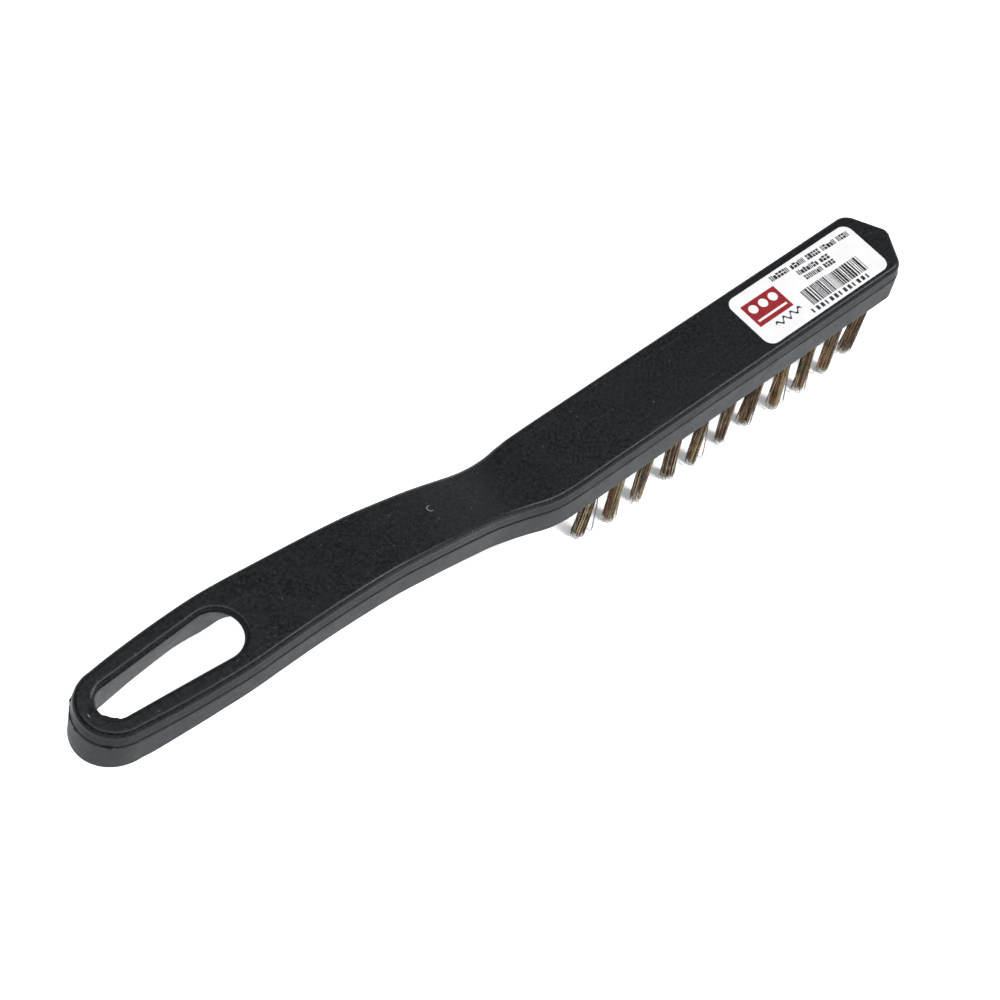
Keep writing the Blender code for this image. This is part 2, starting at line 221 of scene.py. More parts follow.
# ---------------------------------------------------------------- materials
def moulded_plastic():
    """Black polypropylene: faint cloudy mottling, fine mould grain, drag lines
    and hair scratches along the brush, dust, a pale rim that is partly rubbing
    wear and partly painted highlight, painted sheen on the side walls and
    painted shade along the parting line and the slot's edges."""
    n = new_material("moulded_black_polypropylene")
    rim = n.attribute("rim")
    cloud = n.noise(scale=85.0, detail=4.0, rough=0.6, distortion=1.4)
    grain = n.noise(scale=1150.0, rough=0.65)
    drag = n.noise(scale=1.0, rough=0.6, stretch=(60.0, 1100.0, 1100.0))

    grained = n.ramp(grain, over=(0.32, 0.68))
    colour = n.mix(grained, base=(0.0030, 0.0033, 0.0042), to=(0.0160, 0.0168, 0.0192))
    mottled = n.ramp(cloud, over=(0.36, 0.64), to=(0.0, 0.55))
    colour = n.mix(mottled, colour, to=(0.0062, 0.0064, 0.0074))

    # pale rim colour: partly real rubbing wear, partly a painted highlight along the middle of
    # the top rounding
    uneven = n.ramp(n.noise(scale=260.0), over=(0.35, 0.65), to=(0.7, 1.0))
    rubbed_and_highlight = n.times(n.ramp(rim, over=(0.72, 1.0)), uneven)
    colour = n.mix(n.times(rubbed_and_highlight, 0.45), colour, to=(0.042, 0.046, 0.054))

    # painted sheen: lighter bluish specks on the side walls only, so the walls read lighter than
    # the top and the underside
    normal_z = n.xyz(n.add("ShaderNodeNewGeometry").outputs["Normal"])["Z"]
    side = n.ramp(n.math("ABSOLUTE", normal_z), over=(0.25, 0.75), to=(1.0, 0.0))
    speckled_wall_sheen = n.ramp(n.noise(scale=1700.0, rough=0.6), over=(0.42, 0.68))
    speckled_wall_sheen = n.times(side, speckled_wall_sheen)
    colour = n.mix(n.times(speckled_wall_sheen, 0.36), colour, to=(0.038, 0.046, 0.053))

    # painted shade: darker colour along the parting groove, under the slot's rim and at the
    # slot's bottom edge
    parting_shade = n.times(n.attribute("parting_shade"), 0.9)
    colour = n.mix(parting_shade, colour, to=(0.002, 0.002, 0.003))
    dust = n.ramp(n.noise(scale=1250.0, detail=0.0), over=(0.805, 0.825))
    colour = n.mix(n.times(dust, 0.45), colour, to=(0.10, 0.104, 0.112))

    lengthwise = n.noise(scale=1.0, detail=2.0, stretch=(28.0, 1500.0, 700.0))
    crosswise = n.noise(scale=1.0, detail=2.0, stretch=(700.0, 60.0, 400.0))
    scratches = n.math(
        "MAXIMUM",
        n.ramp(lengthwise, over=(0.66, 0.70)),
        n.times(n.ramp(crosswise, over=(0.71, 0.74)), 0.6),
    )
    colour = n.mix(n.times(scratches, 0.13), colour, to=(0.034, 0.036, 0.040))

    rough = n.ramp(cloud, over=(0.25, 0.75), to=(0.30, 0.40))
    rough = n.math("ADD", rough, n.ramp(grain, over=(0.3, 0.7), to=(-0.03, 0.05)))
    rough = n.math("SUBTRACT", rough, n.times(rim, 0.11))

    # relief: grain, less scratches, plus drag; worn smooth at the rim
    height = n.math("ADD", n.times(grain, 0.75), n.times(scratches, -0.22))
    height = n.math("ADD", height, n.times(drag, 0.5))
    height = n.times(height, n.ramp(rim, over=(0.0, 0.6), to=(1.0, 0.08)))
    height = n.times(height, n.ramp(side, over=(0.0, 1.0), to=(1.0, 1.8)))
    fine = n.bump(height, strength=0.6, distance=0.00007)
    swell = n.noise(scale=95.0, detail=2.0, rough=0.4)
    wavy = n.bump(swell, strength=0.22, distance=0.0006, normal=fine)
    return n.set(
        Base_Color=colour, Roughness=rough, Normal=wavy, IOR=1.49,
        Specular_IOR_Level=0.38, Specular_Tint=(0.90, 0.97, 1.0),
    )


def scuffed_plastic():
    n = new_material("scuffed_polypropylene")
    grain = n.noise(scale=1800.0, rough=0.6)
    grained = n.ramp(grain, over=(0.3, 0.7))
    colour = n.mix(grained, base=(0.115, 0.113, 0.085), to=(0.215, 0.212, 0.170))
    rough = n.ramp(grain, over=(0.3, 0.7), to=(0.5, 0.7))
    normal = n.bump(grain, strength=0.5, distance=0.00003)
    return n.set(Base_Color=colour, Roughness=rough, Normal=normal, IOR=1.49)


def paper():
    """White coated stock: faint warm and cool clouding, fibre and a soft
    waviness."""
    n = new_material("coated_white_paper")
    cloud = n.noise(scale=120.0, rough=0.6)
    fibre = n.noise(scale=1.0, rough=0.6, stretch=(1400.0, 2600.0, 1400.0))
    clouded = n.ramp(cloud, over=(0.35, 0.65))
    colour = n.mix(clouded, base=(0.87, 0.865, 0.87), to=(0.92, 0.915, 0.905))
    fibrous = n.ramp(fibre, over=(0.45, 0.75), to=(0.0, 0.14))
    colour = n.mix(fibrous, colour, to=(0.66, 0.65, 0.66))
    rough = n.ramp(cloud, over=(0.3, 0.7), to=(0.38, 0.48))
    wavy = n.bump(n.noise(scale=160.0, detail=2.0), strength=0.3, distance=0.0003)
    normal = n.bump(fibre, strength=0.25, distance=0.00003, normal=wavy)
    return n.set(Base_Color=colour, Roughness=rough, Normal=normal, IOR=1.5)


def ink(name, full, pale):
    """Printed ink: slight density changes, and pinholes where paper shows."""
    n = new_material(name)
    density = n.noise(scale=900.0, rough=0.6)
    thin = n.ramp(density, over=(0.35, 0.75), to=(0.0, 0.35))
    shade = n.mix(thin, base=full, to=pale)
    holes = n.noise(scale=3200.0, detail=1.0)
    holes = n.ramp(holes, over=(0.72, 0.78), to=(0.0, 0.45))
    shade = n.mix(holes, shade, to=(0.7, 0.69, 0.69))
    rough = n.ramp(density, over=(0.3, 0.7), to=(0.34, 0.46))
    return n.set(Base_Color=shade, Roughness=rough, IOR=1.5)


def wire_metal():
    """Brass-coated steel: each wire its own mix of brass, copper and worn dark
    steel, drawn lines along it, bare steel at the cut ends."""
    n = new_material("brass_coated_wire")
    pick = n.attribute("wire")
    patch = n.noise(scale=260.0, rough=0.6)
    drawn = n.noise(scale=1.0, rough=0.6, stretch=(5200.0, 5200.0, 90.0))
    brass = n.ramp(pick, over=(0.10, 0.40))
    colour = n.mix(brass, base=(0.120, 0.080, 0.040), to=(0.50, 0.375, 0.205))
    # (mask source, its range, how strong it gets, colour), laid on in turn
    for source, over, most, to in (
        (pick, (0.50, 0.66), 1.0, (0.230, 0.110, 0.062)),  # copper
        (pick, (0.78, 0.88), 1.0, (0.060, 0.056, 0.056)),  # dark steel
        (patch, (0.42, 0.70), 0.7, (0.060, 0.037, 0.022)),  # worn patches
        (drawn, (0.50, 0.70), 0.6, (0.66, 0.54, 0.36)),  # drawn lines
        (n.attribute("tip"), (0.40, 0.88), 0.95, (0.84, 0.83, 0.80)),  # cut ends
    ):
        colour = n.mix(n.ramp(source, over, to=(0.0, most)), colour, to)
    rough = n.ramp(patch, over=(0.3, 0.7), to=(0.26, 0.44))
    normal = n.bump(drawn, strength=0.4, distance=0.00002)
    return n.set(Base_Color=colour, Metallic=0.95, Roughness=rough, Normal=normal)


def anchor_metal():
    n = new_material("flat_anchor_steel")
    patch = n.noise(scale=500.0, rough=0.6)
    rolled = n.noise(scale=1.0, detail=2.0, stretch=(60.0, 3000.0, 3000.0))
    dull = n.ramp(patch, over=(0.35, 0.7))
    colour = n.mix(dull, base=(0.42, 0.42, 0.43), to=(0.28, 0.26, 0.24))
    rough = n.ramp(patch, over=(0.3, 0.7), to=(0.3, 0.5))
    normal = n.bump(rolled, strength=0.4, distance=0.00002)
    return n.set(Base_Color=colour, Metallic=1.0, Roughness=rough, Normal=normal)


PLASTIC = moulded_plastic()
PAPER = paper()
RED_INK = ink("red_ink", full=(0.29, 0.006, 0.013), pale=(0.42, 0.026, 0.032))
BLACK_INK = ink("black_ink", full=(0.014, 0.014, 0.017), pale=(0.060, 0.060, 0.066))
GREY_INK = ink("worn_black_ink", full=(0.20, 0.20, 0.21), pale=(0.42, 0.42, 0.43))
WIRE = wire_metal()
STEEL = anchor_metal()
SCUFF = scuffed_plastic()


# ---------------------------------------------------------------- shape helpers
def curve_through(stations, x):
    """Monotone cubic through the stations, held level beyond both ends and
    arriving level at the last one."""
    if x <= stations[0][0]:
        return stations[0][1]
    if x >= stations[-1][0]:
        return stations[-1][1]
    pairs = list(zip(stations, stations[1:]))
    step = [right[0] - left[0] for left, right in pairs]
    rise = [(right[1] - left[1]) / run for (left, right), run in zip(pairs, step)]
    slope = [rise[0]]
    for i in range(1, len(pairs)):
        if rise[i - 1] * rise[i] <= 0:
            slope.append(0.0)
        else:
            before = 2 * step[i] + step[i - 1]
            after = step[i] + 2 * step[i - 1]
            slope.append((before + after) / (before / rise[i - 1] + after / rise[i]))
    slope.append(0.0)
    i = max(k for k in range(len(pairs)) if stations[k][0] <= x)
    t = (x - stations[i][0]) / step[i]
    return (
        (2 * t**3 - 3 * t**2 + 1) * stations[i][1]
        + (t**3 - 2 * t**2 + t) * step[i] * slope[i]
        + (3 * t**2 - 2 * t**3) * stations[i + 1][1]
        + (t**3 - t**2) * step[i] * slope[i + 1]
    )


def smooth(t):
    t = max(0.0, min(1.0, t))
    return t * t * (3 - 2 * t)


def arc(center_x, center_y, radius, start, end, count):
    """Points (x, y, normal x, normal y) on an arc; angles in degrees."""
    out = []
    for i in range(count):
        angle = radians(start + (end - start) * i / (count - 1))
        across, up = cos(angle), sin(angle)
        out.append((center_x + radius * across, center_y + radius * up, across, up))
    return out


def circle(sides, shift=0.0):
    """(cos, sin) round a circle, turned by `shift` of one side."""
    angles = (2 * pi * (i + shift) / sides for i in range(sides))
    return [(cos(angle), sin(angle)) for angle in angles]


def band(low, high, sides):
    """Quads between two rings of indices starting at low and at high."""
    turns = [(i, (i + 1) % sides) for i in range(sides)]
    return [(low + i, low + j, high + j, high + i) for i, j in turns]


def skin(bm, rings, flip=False):
    for low, high in zip(rings, rings[1:]):
        for i in range(len(low)):
            j = (i + 1) % len(low)
            quad = (low[i], low[j], high[j], high[i])
            bm.faces.new(quad[::-1] if flip else quad)


def to_mesh(bm, name):
    mesh = bpy.data.meshes.new(name)
    bm.to_mesh(mesh)
    bm.free()
    return mesh


def list_mesh(name, verts, faces):
    mesh = bpy.data.meshes.new(name)
    mesh.from_pydata(verts, [], faces)
    return mesh


def loft(name, rings):
    """Closed solid through rings of points in mm."""
    bm = bmesh.new()
    rings = [[bm.verts.new(point) for point in ring] for ring in rings]
    skin(bm, rings)
    bm.faces.new(rings[0][::-1])
    bm.faces.new(rings[-1])
    for vert in bm.verts:
        vert.co *= MM
    bmesh.ops.recalc_face_normals(bm, faces=bm.faces[:])
    return to_mesh(bm, name)


def shade(mesh, sharp=None):
    """Smooth shading, with edges over `sharp` degrees kept sharp."""
    mesh.shade_smooth()
    if sharp:
        mesh.set_sharp_from_angle(angle=radians(sharp))
    return mesh


def add_piece(name, mesh, material, slot, *nodes):
    """Links a piece that stands in for the given CAD nodes, if any."""
    obj = bpy.data.objects.new(name, mesh)
    collection.objects.link(obj)
    mesh.materials.clear()
    mesh.materials.append(material)
    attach(obj, "root")
    if nodes:
        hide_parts(*nodes)
    return obj


# ---------------------------------------------------------------- handle
def top_height(x):
    first_x, first_z = TOP_STATIONS[0]
    if x < first_x:
        return first_z + GRIP_SLOPE * (x - first_x)
    return curve_through(TOP_STATIONS, x)


def half_width(x):
    return curve_through(HALF_STATIONS, x)


def full_loop(half):
    """Closes a +Y half outline with its mirror image."""
    return half + [(x, -y, nx, -ny) for x, y, nx, ny in reversed(half) if y > 1e-6]


def handle_loop():
    """Handle outline as (x, y, normal x, normal y)."""
    half = []

    def add(x, y, normal_x, normal_y):
        size = hypot(normal_x, normal_y)
        half.append((x, y, normal_x / size, normal_y / size))

    cap_length, cap_half = CAP_X - END_X, half_width(CAP_X)
    for i in range(37):
        angle = radians(2.5 * i)
        along, across = cos(angle), sin(angle)
        add(CAP_X - cap_length * along, cap_half * across, -along / cap_length, across / cap_half)
    x = CAP_X + 1.5
    while x < 20.0:
        slope = (half_width(x + 0.4) - half_width(x - 0.4)) / 0.8
        add(x, half_width(x), -slope, 1.0)
        x += 1.5
    half += [(24.0 + 5.2 * i, HEAD_HALF, 0.0, 1.0) for i in range(20)]
    turn = degrees(atan2(NOSE_TIP_X - NOSE_CORNER_X, HEAD_HALF))
    corner_x = NOSE_CORNER_X - NOSE_CORNER_R * tan(radians((90.0 - turn) / 2))
    half += arc(corner_x, HEAD_HALF - NOSE_CORNER_R, NOSE_CORNER_R, 90.0, turn, 15)
    half += arc(NOSE_TIP_X - NOSE_TIP_R / cos(radians(turn)), 0.0, NOSE_TIP_R, turn, 0.0, 9)
    return full_loop(half)


def slot_loop(share):
    """Slot outline; share is 0 at the top rounding and 1 at the underside."""
    large_x = SLOT_LARGE_X + SLOT_RAKE * share
    lean = degrees(asin((SLOT_LARGE_R - SLOT_SMALL_R) / (large_x - SLOT_SMALL_X)))
    large = arc(large_x, 0.0, SLOT_LARGE_R, 0.0, 90.0 + lean, 25)
    small = arc(SLOT_SMALL_X, 0.0, SLOT_SMALL_R, 90.0 + lean, 180.0, 19)
    x0, y0, nx, ny = large[-1]
    x1, y1 = small[0][:2]
    side = [(x0 + (x1 - x0) * k / 14, y0 + (y1 - y0) * k / 14, nx, ny) for k in range(1, 14)]
    return full_loop([
        (x, y + curve_through(SLOT_BULGE, x) * share * ny, nx, ny)
        for x, y, nx, ny in large + side + small
    ])


def rim_levels(sign):
    """Rounded top rim, growing outward (-1) or into the slot (+1)."""
    levels = []
    for k in range(9):
        angle = radians(90.0 * k / 8)
        # rim value: rubbing wear for roughness and relief, and a painted highlight in the colour
        # along the rounding's middle
        wear_and_highlight = max(sin(angle * 2) ** 2, 0.7 if k > 4 else 0.0)
        levels.append((TOP_R * (1 - cos(angle)), sign * TOP_R * (1 - sin(angle)), wear_and_highlight, 0.0))
    return levels


def foot_levels():
    """Rounding of the outer wall at the underside."""
    levels = []
    for k in range(5):
        angle = radians(22.5 * k)
        out = LOWER_OUT - BOTTOM_REACH * (1 - cos(angle))
        levels.append((SLAB - BOTTOM_R * (1 - sin(angle)), out, 0.35 * sin(2 * angle), 0.0))
    return levels


# Wall levels: (depth, offset along the outline normal, rim wear with painted highlight, painted
# shade at the parting line and the slot's edges)
OUTER_LEVELS = [
    (0.0, -TOP_R - 0.55, 0.0, 0.0),
    *rim_levels(-1),
    (TOP_R + 0.25, 0.015, 0.65, 0.0),
    (2.2, 0.09, 0.25, 0.0),
    (2.8, 0.15, 0.0, 0.0),
    (PARTING_DEPTH - 0.35, UPPER_DRAFT - 0.02, 0.0, 0.0),
    (PARTING_DEPTH - 0.19, UPPER_DRAFT - 0.03, 0.25, 0.0),
    (PARTING_DEPTH - 0.13, UPPER_DRAFT - 0.17, 0.0, 1.0),
    (PARTING_DEPTH + 0.07, UPPER_DRAFT - 0.17, 0.0, 1.0),
    (FLASH_LEVELS[0], UPPER_DRAFT + 0.08, 0.3, 0.3),
    (FLASH_LEVELS[1], LOWER_OUT, 0.5, 0.0),
    (PARTING_DEPTH + 0.50, LOWER_OUT, 0.0, 0.0),
    (8.5, LOWER_OUT, 0.0, 0.0),
    (SLAB - BOTTOM_R - 0.15, LOWER_OUT, 0.0, 0.0),
    *foot_levels(),
    (SLAB, LOWER_OUT - BOTTOM_REACH - 0.5, 0.0, 0.0),
]
SLOT_LEVELS = [
    (0.0, TOP_R + 0.5, 0.0, 0.0),
    *rim_levels(1),
    (TOP_R + 0.25, 0.01, 0.5, 0.4),
    (2.6, 0.04, 0.0, 0.0),
    (6.0, 0.30, 0.0, 0.0),
    (9.5, 0.62, 0.0, 0.0),
    (SLAB - BOTTOM_R, SLOT_FLARE, 0.0, 0.0),
    (SLAB - 0.25, SLOT_FLARE + 0.08, 0.0, 0.6),
    (SLAB, SLOT_FLARE + BOTTOM_REACH, 0.0, 0.6),
    (SLAB, SLOT_FLARE + BOTTOM_REACH + 0.4, 0.0, 0.0),
]


def depth_share(depth):
    """0 down to the top rounding's foot, then rising to 1 at the underside."""
    return max(0.0, depth - TOP_R) / (SLAB - TOP_R)


def place(x, y, depth):
    """Bends the flat slab to the side view, and leans the end wall out."""
    local = depth
    if depth > PARTING_DEPTH:
        squeeze = (curve_through(THICK_STATIONS, x) - PARTING_DEPTH) / (SLAB - PARTING_DEPTH)
        local = PARTING_DEPTH + (depth - PARTING_DEPTH) * squeeze
    if x < CAP_X:
        x = CAP_X + (x - CAP_X) * (1 + depth_share(depth) * END_LEAN / (CAP_X - END_X))
    return Vector((x * MM, y * MM, (top_height(x) - local) * MM))


def flash(x, y, depth):
    """Outward bulge of the trimmed flash along the parting line: ragged at the
    hanging end, faint elsewhere."""
    if depth not in FLASH_LEVELS:
        return 0.0
    ragged = max(0.0, noise.noise(Vector((x * 0.55, y * 0.55, 3.0)))) * 0.45
    ragged += max(0.0, noise.noise(Vector((x * 1.7, y * 1.7, 9.0))) - 0.15) * 0.35
    return ragged * (0.12 + 0.88 * smooth((-118.0 - x) / 16.0))


def burr(x, y, depth):
    """Step into the slot below the rim, on the -Y side of its small end."""
    if not (TOP_R * 0.6 < depth < 5.0 and x < SLOT_SMALL_X + 2):
        return 0.0
    angle = degrees(atan2(y, x - SLOT_SMALL_X)) % 360.0
    return 0.38 * smooth((angle - 196.0) / 6.0) * smooth((243.0 - angle) / 2.5)


def handle_shape():
    bm = bmesh.new()
    # The two layers carry, for the shader, the rim's rubbing wear with its painted highlight, and
    # the painted shade along the parting groove and the slot's edges.
    rim_layer = bm.verts.layers.float.new("rim")
    parting_shade_layer = bm.verts.layers.float.new("parting_shade")

    def wall(levels, slot):
        """Builds one wall; returns its top and bottom rings."""
        outline = None if slot else handle_loop()
        rings = []
        for depth, offset, rim, parting_shade in levels:
            ring = []
            for x, y, nx, ny in slot_loop(depth_share(depth)) if slot else outline:
                out = offset + (-burr(x, y, depth) if slot else flash(x, y, depth))
                vert = bm.verts.new((x + out * nx, y + out * ny, -depth))
                vert[rim_layer] = rim
                vert[parting_shade_layer] = parting_shade
                ring.append(vert)
            rings.append(ring)
        skin(bm, rings, flip=not slot)
        return rings[0], rings[-1]

    outer = wall(OUTER_LEVELS, slot=False)
    slot = wall(SLOT_LEVELS, slot=True)
    # top face, then underside
    for loops in zip(outer, slot):
        edges = [
            bm.edges.get((vert, loop[(i + 1) % len(loop)]))
            for loop in loops for i, vert in enumerate(loop)
        ]
        bmesh.ops.triangle_fill(bm, use_beauty=True, use_dissolve=True, edges=edges)
    # cross cuts, so that the flat faces can bend
    cuts = [-136.0 + 1.5 * i for i in range(104)]
    for x in cuts + [30.0, 50.0, 70.0, 90.0, 110.0, 128.0]:
        geom = bm.verts[:] + bm.edges[:] + bm.faces[:]
        bmesh.ops.bisect_plane(bm, geom=geom, dist=1e-5, plane_co=(x, 0, 0), plane_no=(1, 0, 0))
    bmesh.ops.triangulate(bm, faces=[face for face in bm.faces if len(face.verts) > 4])
    for vert in bm.verts:
        vert.co = place(vert.co.x, vert.co.y, -vert.co.z)
    bmesh.ops.recalc_face_normals(bm, faces=bm.faces[:])
    return to_mesh(bm, "handle_fine")


def drill_cutter():
    """Blind holes with a small countersink and a drill-point floor."""
    verts, faces = [], []
    sides = 36
    # (radius, z), from the mouth up
    profile = (
        (HOLE_R + 0.5, LAND - 0.35), (HOLE_R + 0.28, LAND - 0.02),
        (HOLE_R, LAND + 0.28), (HOLE_R, LAND + HOLE_DEPTH - 0.6),
    )
    for _, row_y in ROWS:
        for hole_x in TUFT_X:
            start = len(verts)
            for radius, z in profile:
                for across, up in circle(sides, shift=0.5):
                    x, y = hole_x + radius * across, row_y + radius * up
                    verts.append((x * MM, y * MM, z * MM))
            point = len(verts)
            verts.append((hole_x * MM, row_y * MM, (LAND + HOLE_DEPTH) * MM))
            faces.append([start + i for i in range(sides)][::-1])
            last = start + (len(profile) - 1) * sides
            for low in range(start, last, sides):
                faces += band(low, low + sides, sides)
            faces += [(last + i, last + (i + 1) % sides, point) for i in range(sides)]
    return list_mesh("drill", verts, faces)


def add_handle():
    raw = bpy.data.objects.new("handle_raw", handle_shape())
    drill = bpy.data.objects.new("drill", drill_cutter())
    for helper in (raw, drill):
        collection.objects.link(helper)
    cut = raw.modifiers.new("holes", "BOOLEAN")
    cut.object = drill
    cut.operation = "DIFFERENCE"
    cut.solver = "EXACT"
    bpy.context.view_layer.update()
    graph = bpy.context.evaluated_depsgraph_get()
    mesh = bpy.data.meshes.new_from_object(raw.evaluated_get(graph))
    mesh.name = "handle_moulding"
    for helper in (raw, drill):
        bpy.data.objects.remove(helper, do_unlink=True)
    shade(mesh, sharp=32)
    handle = add_piece("handle_moulding", mesh, PLASTIC, "black_polypropylene", "handle")
    weighted = handle.modifiers.new("weighted", "WEIGHTED_NORMAL")
    weighted.keep_sharp = True
    weighted.weight = 60


def add_mark(name, path, radius, flat):
    """A low rounded bead along a short (x, y) path on the top face, ends
    tapered; flat is its height over its width."""
    points = [Vector((x, y, top_height(x))) for x, y in path]
    last = len(points) - 1
    rings = []
    for i, point in enumerate(points):
        ahead = (points[min(i + 1, last)] - points[max(i - 1, 0)]).normalized()
        side = Vector((0, 0, 1)).cross(ahead).normalized()
        up = ahead.cross(side)
        size = radius * sqrt(max(0.02, 1 - (2 * i / last - 1) ** 2))
        rings.append([
            point + side * size * across + up * size * flat * rise
            for across, rise in circle(10)
        ])
    add_piece(name, shade(loft("moulding_mark", rings)), SCUFF, "black_polypropylene")


def gate_path():
    """Open ring on the neck."""
    angles = [radians(angle) for angle in range(55, 306, 10)]
    return [(-31.2 + 0.95 * cos(angle), 1.6 + 0.85 * sin(angle)) for angle in angles]


add_handle()
add_mark("gate_witness_mark", gate_path(), radius=0.22, flat=0.6)
chip_path = [(-136.05 - 0.02 * i, 0.75 - 0.22 * i) for i in range(7)]
add_mark("end_flash_chip", chip_path, radius=0.17, flat=0.6)
pip_path = [(44.1 + 0.08 * i, -3.6) for i in range(6)]
add_mark("head_moulding_pip", pip_path, radius=0.2, flat=0.5)


# ---------------------------------------------------------------- label
def label_mesh():
    """Thin sheet with rounded corners and softened edges."""
    half_x, half_y = (LABEL_X[1] - LABEL_X[0]) / 2, (LABEL_Y[1] - LABEL_Y[0]) / 2
    center_x, center_y = sum(LABEL_X) / 2, sum(LABEL_Y) / 2

    def loop(inset, z):
        radius = max(0.3, LABEL_R - inset)
        points = []
        for sign_x, sign_y, start in ((1, 1, 0), (-1, 1, 90), (-1, -1, 180), (1, -1, 270)):
            corner_x = center_x + sign_x * (half_x - inset - radius)
            corner_y = center_y + sign_y * (half_y - inset - radius)
            corner = arc(corner_x, corner_y, radius, start, start + 90, 12)
            points += [(x, y, z) for x, y, *_ in corner]
        return points

    # (inset, z)
    levels = (
        (0.35, LABEL_BASE), (0.02, LABEL_BASE), (0.0, LABEL_BASE + 0.02),
        (0.0, LABEL_TOP - 0.035), (0.03, LABEL_TOP - 0.008),
        (0.09, LABEL_TOP), (0.8, LABEL_TOP),
    )
    return shade(loft("paper_label", [loop(inset, z) for inset, z in levels]), sharp=50)


def add_print(name, material, shapes):
    """Thin slabs, 0.01 mm proud of the paper, from anticlockwise (x, y) corners."""
    verts, faces = [], []
    for shape in shapes:
        start, count = len(verts), len(shape)
        for z in (LABEL_TOP - 0.02, LABEL_TOP + 0.010):
            verts += [(x * MM, y * MM, z * MM) for x, y in shape]
        faces.append([start + i for i in range(count)][::-1])
        faces.append([start + count + i for i in range(count)])
        faces += band(start, start + count, count)
    add_piece(name, list_mesh(name, verts, faces), material, "paper_label")


def rect(x0, y0, x1, y1):
    return [(x0, y0), (x1, y0), (x1, y1), (x0, y1)]


def dashes(start, end, height, seed):
    """A line of small plain blocks in word-like groups; no characters."""
    rng = random.Random(seed)
    run_x, run_y = end[0] - start[0], end[1] - start[1]
    length = hypot(run_x, run_y)
    along_x, along_y = run_x / length, run_y / length
    shapes, at, left = [], 0.0, rng.randint(4, 7)

    def block(at0, up0, at1, up1):
        shapes.append([
            (start[0] + along_x * at - along_y * up, start[1] + along_y * at + along_x * up)
            for at, up in rect(at0, up0, at1, up1)
        ])

    while at < length - 0.9:
        width = rng.choice((0.76, 0.92, 1.04))
        style = rng.randrange(3)
        if style == 0:
            block(at, 0.0, at + width, height * 0.48)
            block(at, height * 0.60, at + width, height)
        elif style == 1:
            block(at, 0.0, at + width * 0.40, height)
            block(at + width * 0.66, 0.0, at + width, height)
        else:
            block(at, 0.0, at + width, height * rng.choice((0.8, 1.0)))
        at += width + 0.20
        left -= 1
        if left == 0:
            at += 0.75
            left = rng.randint(4, 7)
    return shapes


def bars(x0, x1, y0, y1, seed):
    """Upright bars of mixed widths; those near the two ends are worn."""
    rng = random.Random(seed)
    solid, worn, x = [], [], x0
    while x < x1 - 0.15:
        width = min(rng.choice((0.30, 0.32, 0.56, 0.80)), x1 - x)
        inside = 0.04 * (x1 - x0) <= (x - x0) <= 0.9 * (x1 - x0)
        (solid if inside else worn).append(rect(x, y0, x + width, y1))
        x += width + rng.choice((0.20, 0.22, 0.40))
    return solid, worn


def round_window(x0, y0, x1, y1, radius, steps=10):
    """A rectangle with a round hole, as quads between the two."""
    center_x, center_y = (x0 + x1) / 2, (y0 + y1) / 2
    corners = ((x1, y1), (x0, y1), (x0, y0), (x1, y0))
    shapes = []
    for quarter in range(4):
        ax, ay = corners[quarter]
        bx, by = corners[(quarter + 1) % 4]

        def edge(t):
            return ax + (bx - ax) * t, ay + (by - ay) * t

        def rim(t):
            angle = radians(45 + 90 * (quarter + t))
            return center_x + radius * cos(angle), center_y + radius * sin(angle)

        for k in range(steps):
            t0, t1 = k / steps, (k + 1) / steps
            shapes.append([edge(t0), edge(t1), rim(t1), rim(t0)])
    return shapes


def red_shapes():
    """Plain tile with three round windows and a thin open rule under them."""
    left, bottom, right, top = 85.4, -3.1, 98.4, 5.1
    row_left, row_bottom, row_top = 86.2, 0.45, 4.55
    pitch = 3.8
    row_right = row_left + 3 * pitch
    rule_bottom, rule_top = -1.7, -1.0
    shapes = [
        rect(left, row_top, right, top),
        rect(left, row_bottom, row_left, row_top),
        rect(row_right, row_bottom, right, row_top),
    ]
    for k in range(3):
        x = row_left + pitch * k
        shapes += round_window(x, row_bottom, x + pitch, row_top, radius=1.45)
    return shapes + [
        rect(left, rule_top, right, row_bottom),
        rect(left, rule_bottom, 86.4, rule_top),
        rect(97.4, rule_bottom, right, rule_top),
        rect(left, bottom, right, rule_bottom),
    ]


def wavy_line():
    """A line with seven half waves, of varying thickness."""
    stations = []
    for k in range(73):
        t = k / 72
        swing = 0.85 * sin(t * 7 * pi) * (0.55 + 0.45 * sin(pi * t))
        half = 0.24 + 0.17 * abs(sin(t * 3.5 * pi))
        stations.append((89.5 + 10.0 * t, -5.2 + 0.3 * t + swing, half))
    return [
        [(xa, ya - wa), (xb, yb - wb), (xb, yb + wb), (xa, ya + wa)]
        for (xa, ya, wa), (xb, yb, wb) in zip(stations, stations[1:])
    ]


def black_shapes():
    """Returns the solid black marks and the worn ones."""
    solid = dashes((99.3, 6.15), (129.6, 4.9), height=1.8, seed=5)
    solid += dashes((107.2, 3.20), (119.9, 2.5), height=1.7, seed=11)
    solid += dashes((107.8, 0.85), (119.7, 0.35), height=1.6, seed=23)
    left_solid, left_worn = bars(x0=102.9, x1=112.9, y0=-6.55, y1=-0.95, seed=41)
    right_solid, right_worn = bars(x0=114.0, x1=125.1, y0=-6.7, y1=-1.25, seed=57)
    solid += left_solid + right_solid
    # two thin bars between the groups
    middle = [rect(113.15, -6.6, 113.35, -1.1), rect(113.6, -6.6, 113.8, -1.15)]
    # a sinking row of blocks under the bars
    for k in range(13):
        x, drop = 101.1 + 1.78 * k, 0.03 * k
        solid.append(rect(x, -8.55 - drop, x + (1.05 if k % 3 else 0.6), -7.05 - drop))
    return solid + wavy_line(), left_worn + middle + right_worn


